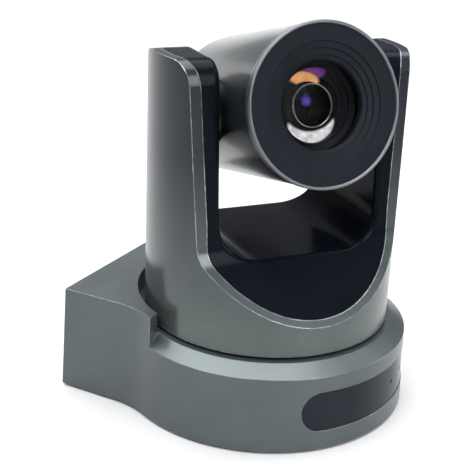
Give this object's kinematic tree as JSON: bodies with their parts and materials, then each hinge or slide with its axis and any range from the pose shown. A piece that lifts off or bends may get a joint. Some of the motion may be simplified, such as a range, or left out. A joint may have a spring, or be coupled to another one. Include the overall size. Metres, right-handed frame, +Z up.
{
  "type": "ptz camera",
  "caption": "Desk-top pan-tilt-zoom camera: drum base with a connector box behind, a turning two-armed yoke and a tilting cylindrical lens head.",
  "frame": {"origin": "mouth of the tripod thread at the underside of the base, on the pan axis", "axes": "+Z up along the pan axis, -Y towards the front of the base, +Y towards the connectors, +X completing a right-handed set"},
  "size_m": [0.142, 0.1605, 0.1904],
  "materials": {
    "shell": "satin",
    "liner": "gloss",
    "window": "gloss",
    "ring": "satin",
    "hood": "satin",
    "lens_glass": "polished",
    "lens_black": "matt",
    "steel": "satin",
    "cast_frame": "satin",
    "rubber": "matt",
    "board": "satin",
    "motor": "satin",
    "connector_metal": "bright",
    "black_plastic": "matt",
    "brass": "satin",
    "led": "clear"
  },
  "bodies": {
    "base": {"base_shell": "shell", "base_plate": "steel", "rubber_feet": "rubber", "tripod_insert": "brass", "base_screws": "steel", "ir_window": "window", "status_leds": "led", "front_board": "board", "ir_receiver": "black_plastic", "gap_ring": "liner", "bearing_housing": "cast_frame", "pan_bearings": "steel", "pan_motor": "motor", "pan_motor_bracket": "steel", "pan_belt": "rubber", "main_board": "board", "io_board": "board", "board_standoffs": "brass", "rear_panel": "black_plastic", "lan_port": "connector_metal", "hdmi_port": "connector_metal", "sdi_connector": "connector_metal", "dc_jack": "black_plastic", "serial_ports": "black_plastic", "audio_jack": "black_plastic", "address_switch": "black_plastic"},
    "yoke": {"yoke_shell": "shell", "yoke_liner": "liner", "yoke_frame": "cast_frame", "pan_shaft": "steel", "pan_pulley": "cast_frame", "yoke_screws": "steel", "tilt_motor": "motor", "tilt_motor_bracket": "steel", "tilt_bearings": "steel", "tilt_belt": "rubber", "drive_board": "board"},
    "head": {"head_shell": "shell", "head_rear_cap": "shell", "head_screws": "steel", "front_ring": "ring", "lens_hood": "hood", "front_lens": "lens_glass", "lens_barrel": "lens_black", "guide_rods": "steel", "iris_unit": "lens_black", "rear_lens": "lens_glass", "image_sensor": "led", "sensor_board": "board", "head_frame": "steel", "tilt_shaft_left": "steel", "tilt_shaft_right": "steel", "tilt_pulley": "cast_frame"},
    "pan_pinion": {"pan_pinion": "brass"},
    "address_dial": {"address_dial": "black_plastic"},
    "tilt_pinion": {"tilt_pinion": "brass"},
    "zoom": {"zoom_cell": "lens_black", "zoom_lens": "lens_glass"},
    "focus": {"focus_cell": "lens_black", "focus_lens": "lens_glass"}
  },
  "joints": [
    {"name": "pan", "type": "hinge", "parent": "base", "child": "yoke", "pos_m": [0, 0, 0], "axis": [0, 0, 1], "range_deg": [-131, 209]},
    {"name": "tilt", "type": "hinge", "parent": "yoke", "child": "head", "pos_m": [0, 0, 0.143], "axis": [-0.7771, 0.6293, 0], "range_deg": [-43.5, 76.5]},
    {"name": "pan_pinion_spin", "type": "hinge", "parent": "base", "child": "pan_pinion", "pos_m": [-0.048, 0, 0.028], "axis": [0, 0, 1], "range_deg": [-530, 840]},
    {"name": "tilt_pinion_spin", "type": "hinge", "parent": "yoke", "child": "tilt_pinion", "pos_m": [0.03855, -0.03121, 0.062], "axis": [-0.7771, 0.6293, 0], "range_deg": [-126, 220]},
    {"name": "zoom", "type": "slide", "parent": "head", "child": "zoom", "axis": [0.6119, 0.7557, -0.2334], "range_m": [0, 0.018]},
    {"name": "focus", "type": "slide", "parent": "head", "child": "focus", "axis": [0.6119, 0.7557, -0.2334], "range_m": [-0.0025, 0.0025]},
    {"name": "address_dial_turn", "type": "hinge", "parent": "base", "child": "address_dial", "pos_m": [0.034, 0.078, 0.0325], "axis": [0, 1, 0], "continuous": true}
  ],
  "couplings": [
    {"joint": "pan_pinion_spin", "follows": "pan", "ratio": 4},
    {"joint": "tilt_pinion_spin", "follows": "tilt", "ratio": 2.8571}
  ]
}
